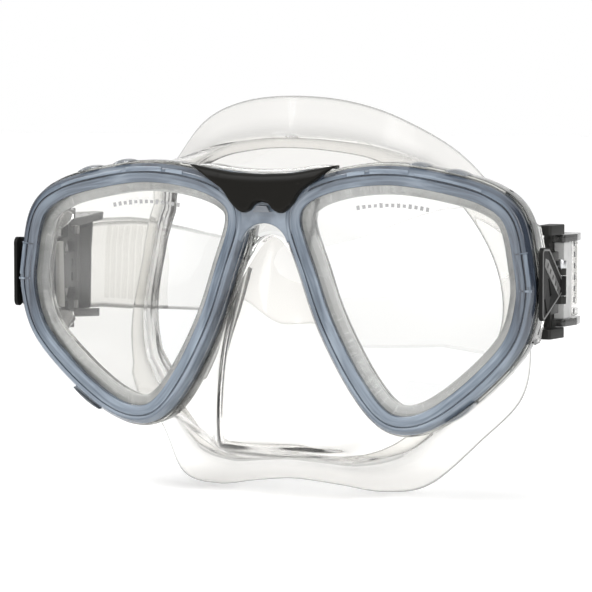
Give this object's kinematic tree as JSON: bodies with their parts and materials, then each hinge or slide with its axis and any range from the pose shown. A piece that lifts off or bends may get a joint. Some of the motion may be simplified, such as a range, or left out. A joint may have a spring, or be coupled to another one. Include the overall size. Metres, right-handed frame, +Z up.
{
  "type": "diving mask",
  "caption": "Two-lens diving mask with a clear frame, tinted bezel, clear silicone skirt, swivel buckles with rollers and a split rear strap.",
  "frame": {"origin": "on the symmetry plane, in the plane of the face seal and level with the middle of the lenses", "axes": "+X across the face, +Y from the lenses back towards the wearer's head, +Z up"},
  "size_m": [0.1816, 0.1139, 0.1262],
  "materials": {
    "clear_frame": "clear polycarbonate, polished",
    "tinted_bezel": "translucent blue-grey, glossy",
    "black_cover": "near-black satin",
    "badge_grey": "grey, glossy",
    "lens_glass": "clear toughened glass",
    "seal_silicone": "milky silicone",
    "skirt_silicone": "clear silicone, satin",
    "clip_clear": "clear, glossy",
    "strap_silicone": "clear silicone, satin",
    "pin_steel": "stainless",
    "buckle_dark": "dark grey, fine grain",
    "guard_clear": "clear, glossy",
    "lever_dark": "dark grey, satin",
    "spring_steel": "stainless wire",
    "roller_dark": "dark grey, moulded"
  },
  "bodies": {
    "frame": {"main_frame": "clear_frame", "lens_bezel": "tinted_bezel", "bridge_cover": "black_cover", "bridge_badge": "badge_grey", "lens_left": "lens_glass", "lens_right": "lens_glass", "lens_seal_left": "seal_silicone", "lens_seal_right": "seal_silicone", "skirt": "skirt_silicone", "bezel_clips_upper": "clip_clear", "bezel_clips_lower": "clip_clear", "pivot_pin_left": "pin_steel", "pivot_pin_right": "pin_steel"},
    "strap": {"strap": "strap_silicone"},
    "left_buckle": {"buckle_body_left": "buckle_dark", "buckle_guard_left": "guard_clear", "lever_pin_left": "pin_steel", "lever_spring_left": "spring_steel", "roller_pin_left": "pin_steel"},
    "left_lever": {"release_lever_left": "lever_dark"},
    "left_roller": {"strap_roller_left": "roller_dark"},
    "right_buckle": {"buckle_body_right": "buckle_dark", "buckle_guard_right": "guard_clear", "lever_pin_right": "pin_steel", "lever_spring_right": "spring_steel", "roller_pin_right": "pin_steel"},
    "right_lever": {"release_lever_right": "lever_dark"},
    "right_roller": {"strap_roller_right": "roller_dark"}
  },
  "joints": [
    {"name": "strap_swing", "type": "hinge", "parent": "frame", "child": "strap", "pos_m": [0, -0.025, -0.004], "axis": [1, 0, 0], "range_deg": [-20, 20]},
    {"name": "left_buckle_swivel", "type": "hinge", "parent": "frame", "child": "left_buckle", "pos_m": [-0.086, -0.025, -0.004], "axis": [1, 0, 0], "range_deg": [-20, 20]},
    {"name": "left_lever_release", "type": "hinge", "parent": "left_buckle", "child": "left_lever", "pos_m": [-0.0891, -0.0214, -0.0048], "axis": [0, 0, -1], "range_deg": [0, 25], "stiffness_Nm_per_rad": 0.02, "springref_deg": -11.46},
    {"name": "left_roller_spin", "type": "hinge", "parent": "left_buckle", "child": "left_roller", "pos_m": [-0.0825, 0.0025, -0.004], "axis": [0, 0, 1], "continuous": true},
    {"name": "right_buckle_swivel", "type": "hinge", "parent": "frame", "child": "right_buckle", "pos_m": [0.086, -0.025, -0.004], "axis": [1, 0, 0], "range_deg": [-20, 20]},
    {"name": "right_lever_release", "type": "hinge", "parent": "right_buckle", "child": "right_lever", "pos_m": [0.0891, -0.0214, -0.0048], "axis": [0, 0, 1], "range_deg": [0, 25], "stiffness_Nm_per_rad": 0.02, "springref_deg": -11.46},
    {"name": "right_roller_spin", "type": "hinge", "parent": "right_buckle", "child": "right_roller", "pos_m": [0.0825, 0.0025, -0.004], "axis": [0, 0, 1], "continuous": true}
  ],
  "couplings": [
    {"joint": "left_buckle_swivel", "follows": "strap_swing", "ratio": 1},
    {"joint": "right_buckle_swivel", "follows": "strap_swing", "ratio": 1}
  ]
}
